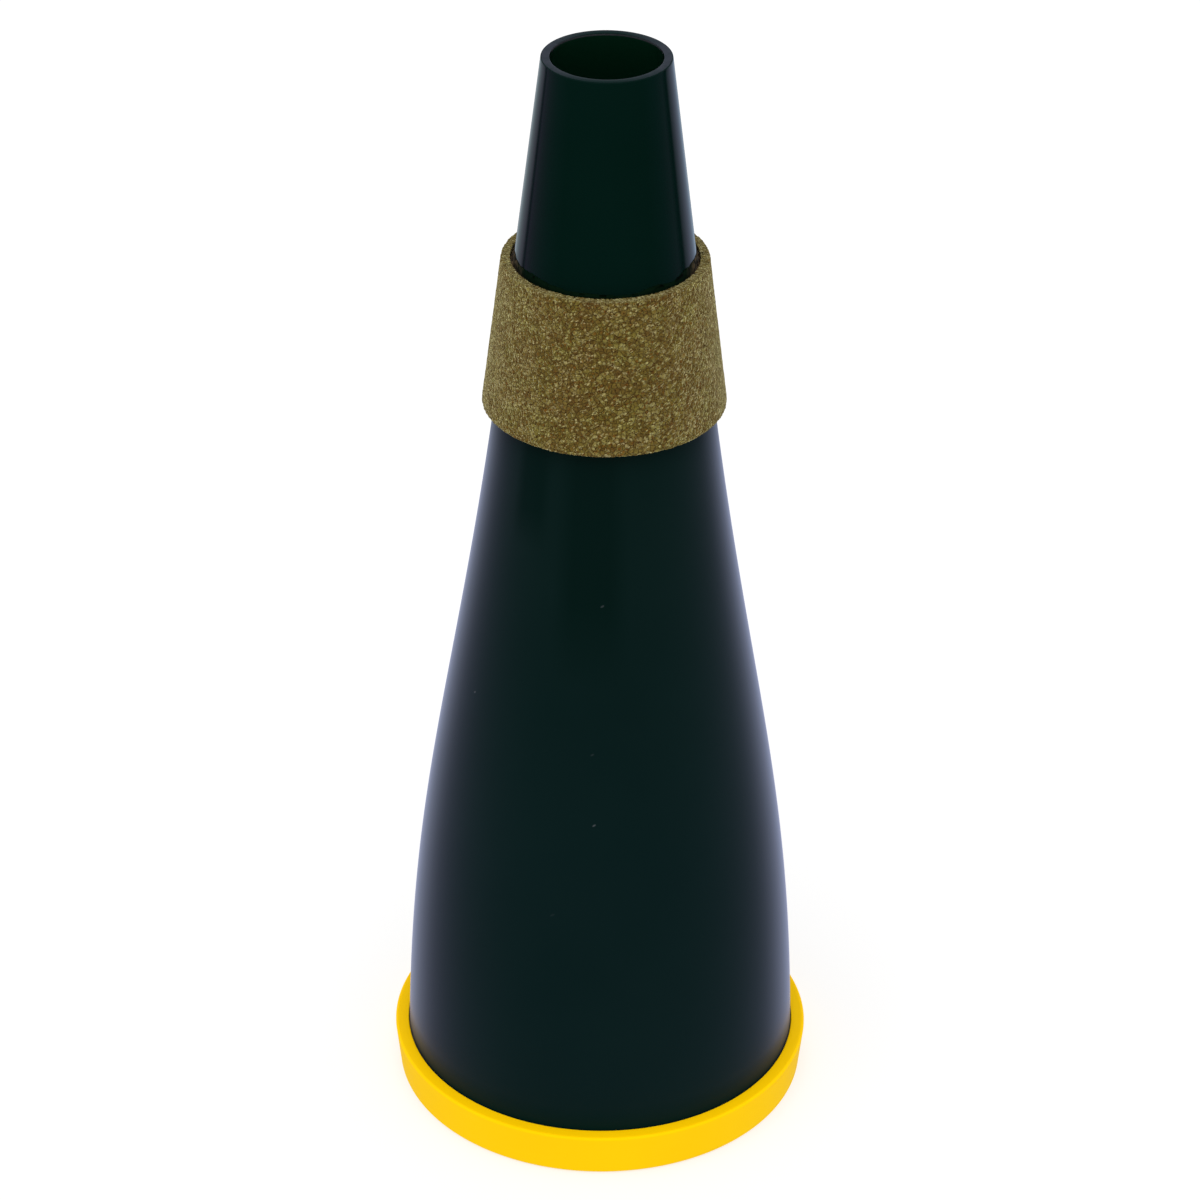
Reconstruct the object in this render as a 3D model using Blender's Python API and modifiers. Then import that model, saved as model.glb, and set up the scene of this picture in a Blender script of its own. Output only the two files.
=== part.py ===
"""Trumpet practice mute: a tapered plastic body that stands on a soft ring.

All sizes are in metres, +Z points up the axis to the narrow mouth, and the origin is
the centre of the face that the mute stands on.  Every piece is turned about that axis.
"""
import math

import bpy
import numpy as np

MM = 0.001

# Clearances: loose or clamped pieces, and pieces with a skin of adhesive between them
SEAT_GAP = 0.3 * MM
BOND_GAP = 0.1 * MM

# Body shell
HEIGHT = 170.0 * MM
MOUTH_RADIUS = 9.16 * MM
NECK_TAPER = 0.1241
NECK_LENGTH = 47.4 * MM
FOOT_RADIUS = 30.14 * MM
FOOT_DRAFT = 0.0112
FOOT_CURVE = 50.8 * MM
NECK_CURVE = 56.0 * MM
SHELL_WALL = 1.2 * MM
MOUTH_EDGE = 0.35 * MM

# Cork collar and its glue
CORK_DROP = 30.6 * MM
CORK_LENGTH = 22.6 * MM
CORK_STANDOFF = 0.55 * MM
CORK_THICKNESS = 1.32 * MM
CORK_TOP_EDGE = 0.25 * MM
CORK_FOOT_EDGE = 0.6 * MM
GLUE_SINK = 1.0 * MM

# Soft ring round the foot
BUMPER_HEIGHT = 7.0 * MM
BUMPER_PROUD = 2.1 * MM
BUMPER_DRAFT = 0.75 * MM
BUMPER_EDGE = 0.4 * MM
BUMPER_FLOOR = 1.2 * MM
BUMPER_LIP = 4.0 * MM
LIP_EDGE = 0.4 * MM

# Base plate and the adhesive that seals it in the shell
PLATE_THICKNESS = 2.0 * MM
SPIGOT_HEIGHT = 8.0 * MM
SPIGOT_WALL = 2.2 * MM
GROOVE_DEPTH = 0.8 * MM
GROOVE_HEIGHT = 3.0 * MM

# Vent tube, its rubber grommet and the baffle that centres it
TUBE_BORE = 7.0 * MM
TUBE_WALL = 1.0 * MM
TUBE_LENGTH = 97.0 * MM
TUBE_EDGE = 0.3 * MM
GROMMET_WALL = 1.8 * MM
GROMMET_FLANGE = 1.0 * MM
GROMMET_FLANGE_REACH = 2.0 * MM
GROMMET_EDGE = 0.35 * MM
BAFFLE_DROP = 8.0 * MM
BAFFLE_COLLAR = 6.0 * MM
BAFFLE_COLLAR_WALL = 1.5 * MM
BAFFLE_WEB = 2.0 * MM
BAFFLE_HOLES = 6
BAFFLE_HOLE_MARGIN = 0.8 * MM

# Soft linings
SLEEVE_THICKNESS = 3.0 * MM
PAD_THICKNESS = 5.0 * MM
SOFT_EDGE = 0.6 * MM

# How finely round shapes are cut
CURVE_SAMPLES = 400
STEPS = 60
SOFT_STEPS = 40
SMALL_STEPS = 36
HOLE_SIDES = 16
ARC_PIECES = 3
BODY_STATIONS = 10
SLEEVE_STATIONS = 5
CORK_STATIONS = 2

# Most of an edge that a rounding may take, and the distance at which the turned seam is welded
ROUNDING_ROOM = 0.49
SEAM_WELD = 0.01 * MM

# Finishes: name, linear colour, roughness
BLACK_ABS = ("black_abs", (0.0015, 0.0095, 0.0075), 0.25)
CORK = ("cork", (0.138, 0.101, 0.033), 0.85)
DARK_GLUE = ("dark_glue", (0.012, 0.010, 0.007), 0.6)
YELLOW_RUBBER = ("yellow_rubber", (0.991, 0.617, 0.001), 0.5)
BLACK_PLATE = ("black_plate", (0.012, 0.015, 0.017), 0.45)
BLACK_BAFFLE = ("black_baffle", (0.014, 0.016, 0.018), 0.5)
BLACK_TUBE = ("black_tube", (0.015, 0.016, 0.018), 0.35)
CLEAR_GLUE = ("clear_glue", (0.35, 0.30, 0.20), 0.4)
GREY_RUBBER = ("grey_rubber", (0.030, 0.030, 0.032), 0.7)
GREY_FELT = ("grey_felt", (0.050, 0.050, 0.055), 0.95)
DARK_FOAM = ("dark_foam", (0.040, 0.040, 0.045), 0.95)

# Heights and radii that follow from the sizes above
CORK_TOP = HEIGHT - CORK_DROP
CORK_BOTTOM = CORK_TOP - CORK_LENGTH
NECK_START = HEIGHT - NECK_LENGTH
PLATE_BOTTOM = BUMPER_FLOOR + SEAT_GAP
PLATE_TOP = PLATE_BOTTOM + PLATE_THICKNESS
SHELL_BOTTOM = PLATE_TOP + SEAT_GAP
SPIGOT_TOP = PLATE_TOP + SPIGOT_HEIGHT
TUBE_RADIUS = TUBE_BORE / 2 + TUBE_WALL
GROMMET_RADIUS = TUBE_RADIUS + BOND_GAP + GROMMET_WALL
GROMMET_FLANGE_RADIUS = GROMMET_RADIUS + BOND_GAP + GROMMET_FLANGE_REACH
GROMMET_BOTTOM = PLATE_BOTTOM - BOND_GAP - GROMMET_FLANGE
GROMMET_TOP = PLATE_TOP + BOND_GAP + GROMMET_FLANGE
TUBE_BOTTOM = GROMMET_BOTTOM + GROMMET_EDGE
TUBE_TOP = TUBE_BOTTOM + TUBE_LENGTH
BAFFLE_TOP = TUBE_TOP - BAFFLE_DROP
BAFFLE_BOTTOM = BAFFLE_TOP - BAFFLE_COLLAR


def shell_outside(height):
    """Outer radius of the shell at a height or an array of heights.

    The neck is a straight cone.  Below it a cubic Bezier curve runs from the cone,
    tangent to it, to the foot, where it keeps a little draft; its two handles are
    FOOT_CURVE and NECK_CURVE long along the axis.
    """
    cone_radius = MOUTH_RADIUS + NECK_TAPER * NECK_LENGTH
    low_radius = FOOT_RADIUS - FOOT_DRAFT * FOOT_CURVE
    high_radius = cone_radius + NECK_TAPER * NECK_CURVE
    heights = (0.0, FOOT_CURVE, NECK_START - NECK_CURVE, NECK_START)
    radii = (FOOT_RADIUS, low_radius, high_radius, cone_radius)
    t = np.linspace(0.0, 1.0, CURVE_SAMPLES)
    weights = ((1 - t) ** 3, 3 * t * (1 - t) ** 2, 3 * t ** 2 * (1 - t), t ** 3)
    curve_height = sum(w * h for w, h in zip(weights, heights))
    curve_radius = sum(w * r for w, r in zip(weights, radii))
    on_cone = MOUTH_RADIUS + NECK_TAPER * (HEIGHT - np.asarray(height, dtype=float))
    return np.where(height >= NECK_START, on_cone, np.interp(height, curve_height, curve_radius))


def shell_inside(height):
    """Inner radius of the shell at a height."""
    return shell_outside(height) - SHELL_WALL


def wall_line(radius_at, offset, top, bottom, pieces):
    """Corners down a line that stays offset from a wall, without rounding."""
    heights = np.linspace(top, bottom, pieces + 1)
    return [(float(radius_at(h)) + offset, float(h), 0.0) for h in heights]


def rounded(corners):
    """Outline through (radius, height, rounding) corners, with an arc at each rounding."""
    outline = []
    count = len(corners)
    for i, (r, z, rounding) in enumerate(corners):
        here = np.array((r, z))
        if rounding <= 0.0:
            outline.append(here)
            continue
        before = np.array(corners[i - 1][:2]) - here
        after = np.array(corners[(i + 1) % count][:2]) - here
        room = min(np.linalg.norm(before), np.linalg.norm(after)) * ROUNDING_ROOM
        before /= np.linalg.norm(before)
        after /= np.linalg.norm(after)
        half = math.acos(float(np.clip(before @ after, -1.0, 1.0))) / 2
        reach = min(rounding / math.tan(half), room)
        radius = reach * math.tan(half)
        middle = (before + after) / np.linalg.norm(before + after)
        centre = here + middle * (radius / math.sin(half))
        start = here + before * reach - centre
        end = here + after * reach - centre
        turn = math.pi - 2 * half
        for k in range(ARC_PIECES + 1):
            share = k / ARC_PIECES
            blend = math.sin((1 - share) * turn) * start + math.sin(share * turn) * end
            outline.append(centre + blend / math.sin(turn))
    return outline


def material(name, colour, roughness):
    """Plain Principled material with one colour."""
    made = bpy.data.materials.new(name)
    made.use_nodes = True
    shader = made.node_tree.nodes["Principled BSDF"]
    shader.inputs["Base Color"].default_value = (*colour, 1.0)
    shader.inputs["Roughness"].default_value = roughness
    shader.inputs["Metallic"].default_value = 0.0
    return made


def turned(name, corners, seat, finish, steps=STEPS):
    """Piece turned about the axis from corners that run down its outer side first.

    seat is the height of the piece's own origin, where it sits on its neighbour.
    """
    outline = rounded(corners)
    points = [(float(r), 0.0, float(z) - seat) for r, z in outline]
    edges = [(i, (i + 1) % len(points)) for i in range(len(points))]
    mesh = bpy.data.meshes.new(name)
    mesh.from_pydata(points, edges, [])
    piece = bpy.data.objects.new(name, mesh)
    piece.location = (0.0, 0.0, seat)
    piece.parent = axis_empty
    parts.objects.link(piece)
    screw = piece.modifiers.new("turn", "SCREW")
    screw.steps = steps
    screw.render_steps = steps
    screw.use_merge_vertices = True
    screw.merge_threshold = SEAM_WELD
    screw.use_smooth_shade = True
    mesh.materials.append(finish)
    return piece


def body_shell():
    """Black cone, open at both ends."""
    outer = wall_line(shell_outside, 0.0, NECK_START, SHELL_BOTTOM, BODY_STATIONS)
    inner = wall_line(shell_inside, 0.0, SHELL_BOTTOM, NECK_START, BODY_STATIONS)
    mouth_out = (float(shell_outside(HEIGHT)), HEIGHT, MOUTH_EDGE)
    mouth_in = (float(shell_inside(HEIGHT)), HEIGHT, MOUTH_EDGE)
    corners = [mouth_out, *outer, *inner, mouth_in]
    return turned("body_shell", corners, SHELL_BOTTOM, material(*BLACK_ABS))


def cork_collar():
    """Cork ring that follows the neck's taper and wedges in the bell."""
    skin = CORK_STANDOFF + CORK_THICKNESS
    outer = wall_line(shell_outside, skin, CORK_TOP, CORK_BOTTOM, CORK_STATIONS)
    inner = wall_line(shell_outside, CORK_STANDOFF, CORK_BOTTOM, CORK_TOP, CORK_STATIONS)
    outer[0] = (*outer[0][:2], CORK_TOP_EDGE)
    outer[-1] = (*outer[-1][:2], CORK_FOOT_EDGE)
    return turned("cork_collar", outer + inner, CORK_BOTTOM, material(*CORK))


def cork_glue_bed():
    """Adhesive between neck and cork, a little short of the cork's ends."""
    top = CORK_TOP - GLUE_SINK
    bottom = CORK_BOTTOM + SEAT_GAP
    outer = wall_line(shell_outside, CORK_STANDOFF - BOND_GAP, top, bottom, CORK_STATIONS)
    inner = wall_line(shell_outside, BOND_GAP, bottom, top, CORK_STATIONS)
    return turned("cork_glue_bed", outer + inner, bottom, material(*DARK_GLUE))


def rim_bumper():
    """Soft ring whose channel holds the plate's edge and the shell's foot."""
    top_radius = FOOT_RADIUS + BUMPER_PROUD
    channel_top = float(shell_outside(BUMPER_HEIGHT)) + BOND_GAP
    channel = float(shell_outside(SHELL_BOTTOM)) + BOND_GAP
    lip = channel - BUMPER_LIP
    corners = [
        (top_radius, BUMPER_HEIGHT, BUMPER_EDGE),
        (top_radius - BUMPER_DRAFT, 0.0, BUMPER_EDGE),
        (lip, 0.0, LIP_EDGE),
        (lip, BUMPER_FLOOR, 0.0),
        (channel, BUMPER_FLOOR, 0.0),
        (channel, SHELL_BOTTOM, 0.0),
        (channel_top, BUMPER_HEIGHT, 0.0),
    ]
    return turned("rim_bumper", corners, 0.0, material(*YELLOW_RUBBER))


def spigot_radius():
    """Outer radius of the plate's spigot, which the shell narrows towards."""
    return float(shell_inside(SPIGOT_TOP)) - SEAT_GAP


def groove_heights():
    """Top and bottom of the groove round the spigot, midway up it."""
    middle = (PLATE_TOP + SPIGOT_TOP) / 2
    return middle + GROOVE_HEIGHT / 2, middle - GROOVE_HEIGHT / 2


def base_plate():
    """Disc that closes the foot, with a hole for the grommet and a grooved spigot."""
    flange = float(shell_outside(SHELL_BOTTOM)) + BOND_GAP - SEAT_GAP
    spigot = spigot_radius()
    groove_top, groove_bottom = groove_heights()
    hole = GROMMET_RADIUS + BOND_GAP
    corners = [
        (spigot, SPIGOT_TOP, 0.0),
        (spigot, groove_top, 0.0),
        (spigot - GROOVE_DEPTH, groove_top, 0.0),
        (spigot - GROOVE_DEPTH, groove_bottom, 0.0),
        (spigot, groove_bottom, 0.0),
        (spigot, PLATE_TOP, 0.0),
        (flange, PLATE_TOP, 0.0),
        (flange, PLATE_BOTTOM, 0.0),
        (hole, PLATE_BOTTOM, 0.0),
        (hole, PLATE_TOP, 0.0),
        (spigot - SPIGOT_WALL, PLATE_TOP, 0.0),
        (spigot - SPIGOT_WALL, SPIGOT_TOP, 0.0),
    ]
    return turned("base_plate", corners, PLATE_BOTTOM, material(*BLACK_PLATE))


def base_bond_ring():
    """Bead of adhesive that fills the spigot's groove and reaches the shell."""
    groove_top, groove_bottom = groove_heights()
    top = groove_top - BOND_GAP
    bottom = groove_bottom + BOND_GAP
    floor = spigot_radius() - GROOVE_DEPTH + BOND_GAP
    corners = [
        (float(shell_inside(top)) - BOND_GAP, top, 0.0),
        (float(shell_inside(bottom)) - BOND_GAP, bottom, 0.0),
        (floor, bottom, 0.0),
        (floor, top, 0.0),
    ]
    return turned("base_bond_ring", corners, bottom, material(*CLEAR_GLUE))


def vent_tube():
    """Straight tube with rounded ends, open all the way through."""
    bore = TUBE_BORE / 2
    corners = [
        (TUBE_RADIUS, TUBE_TOP, TUBE_EDGE),
        (TUBE_RADIUS, TUBE_BOTTOM, TUBE_EDGE),
        (bore, TUBE_BOTTOM, TUBE_EDGE),
        (bore, TUBE_TOP, TUBE_EDGE),
    ]
    return turned("vent_tube", corners, TUBE_BOTTOM, material(*BLACK_TUBE), SMALL_STEPS)


def vent_grommet():
    """Rubber bush with a flange on each side of the plate."""
    bore = TUBE_RADIUS + BOND_GAP
    upper = PLATE_TOP + BOND_GAP
    lower = PLATE_BOTTOM - BOND_GAP
    corners = [
        (GROMMET_FLANGE_RADIUS, GROMMET_TOP, GROMMET_EDGE),
        (GROMMET_FLANGE_RADIUS, upper, 0.0),
        (GROMMET_RADIUS, upper, 0.0),
        (GROMMET_RADIUS, lower, 0.0),
        (GROMMET_FLANGE_RADIUS, lower, 0.0),
        (GROMMET_FLANGE_RADIUS, GROMMET_BOTTOM, GROMMET_EDGE),
        (bore, GROMMET_BOTTOM, 0.0),
        (bore, GROMMET_TOP, 0.0),
    ]
    return turned("vent_grommet", corners, GROMMET_BOTTOM, material(*GREY_RUBBER), SMALL_STEPS)


def hole_cutter(name, radius, depth, place):
    """Upright cylinder that cuts one hole."""
    bpy.ops.mesh.primitive_cylinder_add(vertices=HOLE_SIDES, radius=radius, depth=depth, location=place)
    cutter = bpy.context.object
    cutter.name = name
    cutter.hide_render = True
    cutter.display_type = "WIRE"
    for collection in list(cutter.users_collection):
        collection.objects.unlink(cutter)
    cutters.objects.link(cutter)
    return cutter


def tube_baffle():
    """Disc between two collars: one round the tube, one along the shell, with air holes."""
    web_top = (BAFFLE_TOP + BAFFLE_BOTTOM + BAFFLE_WEB) / 2
    web_bottom = web_top - BAFFLE_WEB
    rim_top = float(shell_inside(BAFFLE_TOP)) - SEAT_GAP
    rim_bottom = float(shell_inside(BAFFLE_BOTTOM)) - SEAT_GAP
    rim_web = float(shell_inside((BAFFLE_TOP + BAFFLE_BOTTOM) / 2)) - SEAT_GAP - BAFFLE_COLLAR_WALL
    bore = TUBE_RADIUS + BOND_GAP
    hub = bore + BAFFLE_COLLAR_WALL
    corners = [
        (rim_top, BAFFLE_TOP, 0.0),
        (rim_bottom, BAFFLE_BOTTOM, 0.0),
        (rim_bottom - BAFFLE_COLLAR_WALL, BAFFLE_BOTTOM, 0.0),
        (rim_web, web_bottom, 0.0),
        (hub, web_bottom, 0.0),
        (hub, BAFFLE_BOTTOM, 0.0),
        (bore, BAFFLE_BOTTOM, 0.0),
        (bore, BAFFLE_TOP, 0.0),
        (hub, BAFFLE_TOP, 0.0),
        (hub, web_top, 0.0),
        (rim_web, web_top, 0.0),
        (rim_top - BAFFLE_COLLAR_WALL, BAFFLE_TOP, 0.0),
    ]
    baffle = turned("tube_baffle", corners, BAFFLE_BOTTOM, material(*BLACK_BAFFLE))
    ring_radius = (hub + rim_web) / 2
    hole_radius = (rim_web - hub) / 2 - BAFFLE_HOLE_MARGIN
    for i in range(BAFFLE_HOLES):
        angle = 2 * math.pi * i / BAFFLE_HOLES
        place = (ring_radius * math.cos(angle), ring_radius * math.sin(angle), (web_top + web_bottom) / 2)
        cutter = hole_cutter(f"air_hole_{i + 1}", hole_radius, 2 * BAFFLE_WEB, place)
        cut = baffle.modifiers.new(cutter.name, "BOOLEAN")
        cut.operation = "DIFFERENCE"
        cut.solver = "EXACT"
        cut.object = cutter
    return baffle


def damping_sleeve():
    """Felt lining of the body, from the plate's spigot up to the baffle."""
    top = BAFFLE_BOTTOM - SEAT_GAP
    bottom = SPIGOT_TOP + SEAT_GAP
    outer = wall_line(shell_inside, -SEAT_GAP, top, bottom, SLEEVE_STATIONS)
    inner = wall_line(shell_inside, -SEAT_GAP - SLEEVE_THICKNESS, bottom, top, SLEEVE_STATIONS)
    return turned("damping_sleeve", outer + inner, bottom, material(*GREY_FELT), SOFT_STEPS)


def base_pad():
    """Foam ring on the plate, between the grommet and the spigot."""
    top = PLATE_TOP + SEAT_GAP + PAD_THICKNESS
    bottom = PLATE_TOP + SEAT_GAP
    outside = spigot_radius() - SPIGOT_WALL - SEAT_GAP
    inside = GROMMET_FLANGE_RADIUS + SEAT_GAP
    corners = [
        (outside, top, SOFT_EDGE),
        (outside, bottom, 0.0),
        (inside, bottom, 0.0),
        (inside, top, SOFT_EDGE),
    ]
    return turned("base_pad", corners, bottom, material(*DARK_FOAM), SOFT_STEPS)


for old in list(bpy.data.objects):
    bpy.data.objects.remove(old, do_unlink=True)

parts = bpy.data.collections.new("trumpet_practice_mute")
cutters = bpy.data.collections.new("cutters")
bpy.context.scene.collection.children.link(parts)
bpy.context.scene.collection.children.link(cutters)
axis_empty = bpy.data.objects.new("mute_axis", None)
parts.objects.link(axis_empty)

body_shell()
cork_collar()
cork_glue_bed()
rim_bumper()
base_plate()
base_bond_ring()
vent_tube()
vent_grommet()
tube_baffle()
damping_sleeve()
base_pad()
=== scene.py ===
"""Looks of the trumpet practice mute: black moulded body, cork collar and yellow soft ring.

Every piece is turned about the Z axis, so nearly every surface here is a closed outline
of (radius, height) points carried once round that axis as one numpy grid.
"""
import math

import bpy
import numpy as np
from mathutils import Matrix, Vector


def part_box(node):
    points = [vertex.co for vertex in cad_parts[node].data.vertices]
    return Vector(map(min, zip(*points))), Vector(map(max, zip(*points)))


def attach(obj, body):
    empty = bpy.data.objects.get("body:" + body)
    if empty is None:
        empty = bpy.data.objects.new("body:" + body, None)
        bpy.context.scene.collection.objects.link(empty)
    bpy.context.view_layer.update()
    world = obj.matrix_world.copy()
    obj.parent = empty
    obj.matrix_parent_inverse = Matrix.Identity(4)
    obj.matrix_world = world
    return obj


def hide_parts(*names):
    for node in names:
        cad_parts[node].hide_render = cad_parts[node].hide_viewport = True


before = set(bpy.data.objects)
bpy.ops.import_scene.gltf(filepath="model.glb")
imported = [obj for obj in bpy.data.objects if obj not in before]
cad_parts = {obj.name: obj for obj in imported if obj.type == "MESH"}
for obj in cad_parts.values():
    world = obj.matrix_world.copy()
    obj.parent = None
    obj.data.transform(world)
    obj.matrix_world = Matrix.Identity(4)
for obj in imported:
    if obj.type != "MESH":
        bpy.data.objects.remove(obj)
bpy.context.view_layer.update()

MM = 0.001

# Body shell, as in the solids
HEIGHT = 170.0 * MM
MOUTH_RADIUS = 9.16 * MM
NECK_TAPER = 0.1241
NECK_START = HEIGHT - 47.4 * MM
FOOT_RADIUS = 30.14 * MM
FOOT_DRAFT = 0.0112
FOOT_CURVE = 50.8 * MM
NECK_CURVE = 56.0 * MM
SHELL_WALL = 1.2 * MM
MOUTH_LIP = 0.05 * MM

# Grey on the mouth's lip, a painted reflection towards its sides: how far down it reaches, how far in
# from the outside it starts, and how deep the lip's flat top is taken to be
LIP_GREY_DEPTH = 0.32 * MM
LIP_BORDER = 0.15 * MM
LIP_FLAT = 0.08 * MM

# Heights between which the shell's finish changes: satin body to polished neck under the cork, dull
# beside the soft ring to full bloom, and foot tone to shoulder tone
SATIN_TO_POLISH = (112.0 * MM, 140.0 * MM)
RING_TO_BLOOM = (7.2 * MM, 11.0 * MM)
FOOT_TO_SHOULDER = (50.0 * MM, 105.0 * MM)

# Streaks down the body painted as dark reflections, darker and with less bloom: azimuth from the front
# and half width in degrees, and the heights between which each fades in
DARK_REFLECTION_STREAKS = (
    (-37.0, 9.0, 100.0 * MM, 106.0 * MM),
    (-5.5, 14.0, 80.0 * MM, 93.0 * MM),
)

# Clearances between pieces
SEAT_GAP = 0.3 * MM
BOND_GAP = 0.1 * MM

# Cork: its fit on the neck, how far its ends lie past the solid's, its grain and its relief
CORK_STANDOFF = 0.55 * MM
CORK_THICKNESS = 1.32 * MM
CORK_SAG = 0.2 * MM
CORK_RISE = 0.12 * MM
CORK_GRANULE = 0.62 * MM
CORK_RELIEF = 0.07 * MM
CORK_NOTCH = 0.06 * MM
CORK_WAVE = 0.015 * MM

# Glue: its top below the cork's and the lumps there; and a thin dark film up the neck that is painted
# shade in the gap, higher at the sides and with an edge that is ragged at two sizes, each with its depth
GLUE_SINK = 0.35 * MM
GLUE_LUMP = 0.10 * MM
SHADE_FILM_THICKNESS = 0.05 * MM
SHADE_FILM_RISE = 0.75 * MM
SHADE_FILM_SIDE_RISE = 0.7 * MM
SHADE_FILM_RAGGED = ((1.1 * MM, 0.12 * MM), (4.0 * MM, 0.25 * MM))

# Soft ring
BUMPER_PROUD = 2.1 * MM
BUMPER_DRAFT = 0.75 * MM
BUMPER_EDGE = 0.4 * MM
BUMPER_FLOOR = 1.2 * MM
BUMPER_LIP = 4.0 * MM

# Base plate, and the groove that holds its bead of glue
PLATE_THICKNESS = 2.0 * MM
SPIGOT_WALL = 2.2 * MM
GROOVE_DEPTH = 0.8 * MM
GROOVE_HEIGHT = 3.0 * MM
BEAD_LUMP = 0.06 * MM

# Vent tube and grommet
TUBE_RADIUS = 4.5 * MM
TUBE_BORE_RADIUS = 3.5 * MM
GROMMET_RADIUS = 6.4 * MM
GROMMET_FLANGE_RADIUS = 8.5 * MM
GROMMET_FLANGE = 1.0 * MM

# Felt sleeve: its thickness, its uneven face, and its butt seam, whose width is an angle
SLEEVE_THICKNESS = 3.0 * MM
FELT_FLUFF = 0.12 * MM
FELT_SEAM_DEPTH = 0.35 * MM
FELT_SEAM_WIDTH = 0.02

# Foam ring
FOAM_CROWN = 0.3 * MM
FOAM_PORE = 0.9 * MM
FOAM_PORE_DEPTH = 0.12 * MM

# Girths round which the lumps of glue, felt, foam and bead are spaced
GLUE_GIRTH = 100.0 * MM
FELT_GIRTH = 150.0 * MM
FOAM_GIRTH = 150.0 * MM
BEAD_GIRTH = 170.0 * MM

# Colours of the black inner parts
PLATE_BLACK = (0.012, 0.015, 0.017)
BAFFLE_BLACK = (0.014, 0.016, 0.018)

# How finely pieces are turned
FINE = 288
PLAIN = 144
SMALL = 96
CORK_AROUND = 720

# Floor, in metres: its half width, how far below the mute it lies, and the distances over which its
# real shade fades to white
FLOOR_HALF = 30.0
FLOOR_DROP = 0.2 * MM
SHADE_NEAR = 0.10
SHADE_END = 0.30

# Soft lamp, in metres and watts
LAMP_PLACE = (-0.12, -0.55, 1.4)
LAMP_TILT = math.radians(20)
LAMP_TURN = math.radians(-12)
LAMP_SIZE = 1.4
LAMP_POWER = 8.0

# The photograph's camera, fitted to the outline of the mute: its place in metres, lens in millimetres
CAMERA_BACK = 0.522006
CAMERA_UP = 0.395890
CAMERA_PITCH = math.radians(30.9579)
CAMERA_ROLL = math.radians(0.38849)
CAMERA_YAW = math.radians(0.04848)
CAMERA_LENS = 122.996
CAMERA_SENSOR = 36.0
CAMERA_CLIP = 0.01

# The studio as reflections see it, by how far round it is: 0 in front of the mute, 1 behind it.
# Each side is dark in front, dusky beside the mute, has a dark gap, and then a pale wall that ends
# just before a dark strip straight behind the mute.
STUDIO_LEFT = (
    (0.25, (0.012, 0.010, 0.012)),
    (0.45, (0.072, 0.062, 0.110)),
    (0.74, (0.190, 0.110, 0.250)),
    (0.765, (0.060, 0.015, 0.080)),
    (0.785, (0.060, 0.015, 0.080)),
    (0.825, (0.35, 0.32, 0.45)),
    (0.94, (0.445, 0.53, 0.60)),
    (0.985, (0.535, 0.63, 0.70)),
    (1.00, (0.12, 0.12, 0.14)),
)
STUDIO_RIGHT = (
    (0.25, (0.012, 0.010, 0.012)),
    (0.45, (0.050, 0.060, 0.100)),
    (0.62, (0.105, 0.100, 0.172)),
    (0.69, (0.018, 0.004, 0.030)),
    (0.725, (0.018, 0.004, 0.030)),
    (0.765, (0.24, 0.25, 0.36)),
    (0.84, (0.40, 0.42, 0.60)),
    (0.94, (0.455, 0.56, 0.765)),
    (0.985, (0.525, 0.66, 0.835)),
    (1.00, (0.12, 0.12, 0.14)),
)

# Its ceiling, by the sine of how high the reflection looks
STUDIO_CEILING = ((0.28, (0.28, 0.30, 0.37)), (0.39, (0.13, 0.17, 0.21)), (0.85, (0.06, 0.08, 0.10)))


def shell_outside(height):
    """Outer radius of the shell: a straight cone up the neck, and below it a cubic Bezier curve,
    tangent to the cone and nearly upright at the foot, read as radius against height."""
    height = np.asarray(height, dtype=float)
    cone_radius = MOUTH_RADIUS + NECK_TAPER * (HEIGHT - NECK_START)
    heights = (0.0, FOOT_CURVE, NECK_START - NECK_CURVE, NECK_START)
    low_radius = FOOT_RADIUS - FOOT_DRAFT * FOOT_CURVE
    radii = (FOOT_RADIUS, low_radius, cone_radius + NECK_TAPER * NECK_CURVE, cone_radius)
    t = np.linspace(0.0, 1.0, 800)
    weights = ((1 - t) ** 3, 3 * t * (1 - t) ** 2, 3 * t ** 2 * (1 - t), t ** 3)
    curve_height = sum(w * h for w, h in zip(weights, heights))
    curve_radius = sum(w * r for w, r in zip(weights, radii))
    on_cone = MOUTH_RADIUS + NECK_TAPER * (HEIGHT - height)
    return np.where(height >= NECK_START, on_cone, np.interp(height, curve_height, curve_radius))


def shell_corner(offset, height, rounding=0.0):
    """Corner at a height, and at an offset from the shell's outer wall."""
    return (float(shell_outside(height)) + offset, height, rounding)


def shell_line(offset, start, end, count, first=0.0, last=0.0):
    """Corners from one height to another along a line at a steady offset from the shell's outer wall,
    with a rounding at the first corner and at the last."""
    heights = np.linspace(start, end, count)
    roundings = [first] + [0.0] * (count - 2) + [last]
    return list(zip(shell_outside(heights) + offset, heights, roundings))


def arc(before, here, after, rounding, pieces):
    """Points of the fillet at a corner: the circle that touches both edges, by spherical blending
    between its two touching points."""
    back = before - here
    ahead = after - here
    room = 0.49 * min(np.linalg.norm(back), np.linalg.norm(ahead))
    back = back / np.linalg.norm(back)
    ahead = ahead / np.linalg.norm(ahead)
    half = math.acos(float(np.clip(back @ ahead, -1.0, 1.0))) / 2
    reach = min(rounding / math.tan(half), room)
    middle = (back + ahead) / np.linalg.norm(back + ahead)
    centre = here + middle * (reach / math.cos(half))
    turn = math.pi - 2 * half
    share = np.linspace(0.0, 1.0, pieces + 1)[:, None]
    start = here + back * reach - centre
    end = here + ahead * reach - centre
    return centre + (np.sin((1 - share) * turn) * start + np.sin(share * turn) * end) / math.sin(turn)


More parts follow.
